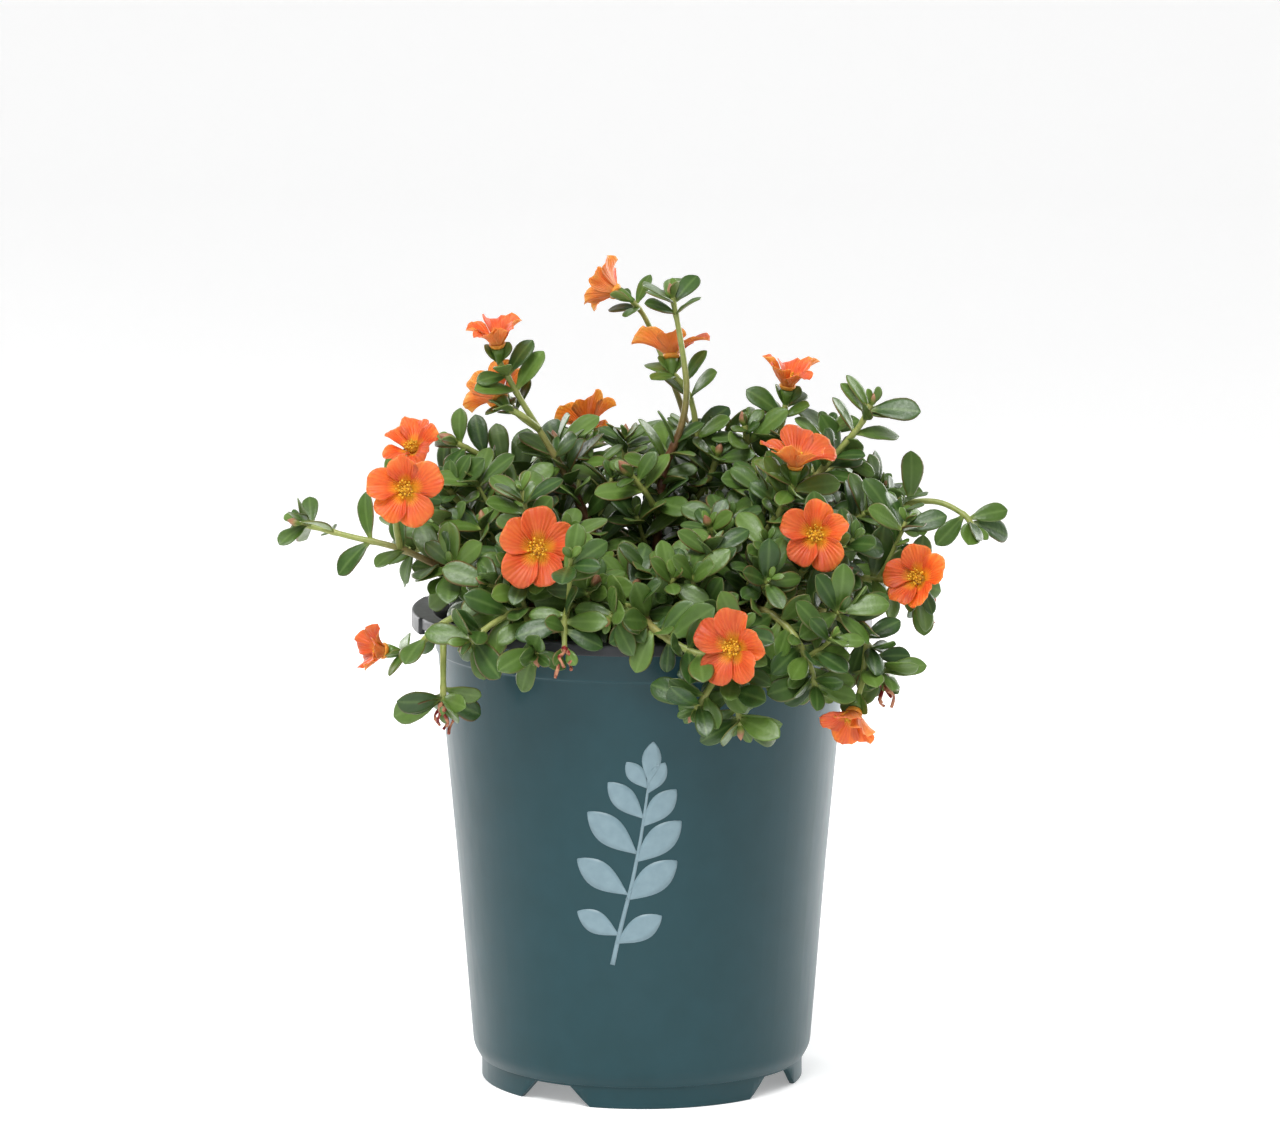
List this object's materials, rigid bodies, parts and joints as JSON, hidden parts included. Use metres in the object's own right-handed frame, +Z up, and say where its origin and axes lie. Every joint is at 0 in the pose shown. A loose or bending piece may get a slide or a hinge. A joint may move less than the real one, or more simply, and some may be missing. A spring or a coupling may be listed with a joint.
{
  "type": "portulaca plant in a nursery pot",
  "caption": "Flowering portulaca, or moss rose purslane, with orange cup blooms and fleshy leaves on trailing stems, growing in a round moulded nursery pot full of soil.",
  "frame": {"origin": "on the pot's axis, on the ground under its foot ring", "axes": "+Z up along the pot's axis, -Y the front of the plant, +X to the right seen from the front"},
  "size_m": [0.2612, 0.2261, 0.2953],
  "materials": {
    "pot_plastic": "satin teal injection moulded plastic, dark grey rim and inside",
    "potting_soil": "moist peat and bark crumbs",
    "leaf_green": "glossy fleshy leaves, stems green at the tips and reddish at the foot",
    "petal_orange": "soft silky petals, coral orange with a yellow throat and paler backs",
    "stamen_yellow": "matt pollen yellow"
  },
  "bodies": {
    "root": {"pot": "pot_plastic", "soil": "potting_soil", "stem_left_long": "leaf_green", "stem_left_bud": "leaf_green", "stem_left_mid": "leaf_green", "stem_upper_left": "leaf_green", "stem_top_centre": "leaf_green", "stem_top_back": "leaf_green", "stem_right_top": "leaf_green", "stem_right_sprig": "leaf_green", "stem_right_flower": "leaf_green", "stem_right_mid": "leaf_green", "stem_right_long": "leaf_green", "stem_front_right": "leaf_green", "stem_right_low_flower": "leaf_green", "stem_right_hanging": "leaf_green", "stem_front_flower": "leaf_green", "stem_front_hanging": "leaf_green", "stem_front_buds": "leaf_green", "stem_front_left_flower": "leaf_green", "stem_left_low": "leaf_green", "stem_left_front": "leaf_green", "stem_front_low_right": "leaf_green", "stem_back_left": "leaf_green", "stem_back_mid_left": "leaf_green", "stem_back_mid_right": "leaf_green", "stem_back_right": "leaf_green", "bloom_01_petals": "petal_orange", "bloom_01_stamens": "stamen_yellow", "bloom_02_petals": "petal_orange", "bloom_02_stamens": "stamen_yellow", "bloom_03_petals": "petal_orange", "bloom_03_stamens": "stamen_yellow", "bloom_04_petals": "petal_orange", "bloom_04_stamens": "stamen_yellow", "bloom_05_petals": "petal_orange", "bloom_05_stamens": "stamen_yellow", "bloom_06_petals": "petal_orange", "bloom_06_stamens": "stamen_yellow", "bloom_07_petals": "petal_orange", "bloom_07_stamens": "stamen_yellow", "bloom_08_petals": "petal_orange", "bloom_08_stamens": "stamen_yellow", "bloom_09_petals": "petal_orange", "bloom_09_stamens": "stamen_yellow", "bloom_10_petals": "petal_orange", "bloom_10_stamens": "stamen_yellow", "bloom_11_petals": "petal_orange", "bloom_11_stamens": "stamen_yellow", "bloom_12_petals": "petal_orange", "bloom_12_stamens": "stamen_yellow", "bloom_13_petals": "petal_orange", "bloom_13_stamens": "stamen_yellow", "bloom_14_petals": "petal_orange", "bloom_14_stamens": "stamen_yellow", "bloom_15_petals": "petal_orange", "bloom_15_stamens": "stamen_yellow", "bloom_16_petals": "petal_orange", "bloom_16_stamens": "stamen_yellow"}
  },
  "joints": []
}
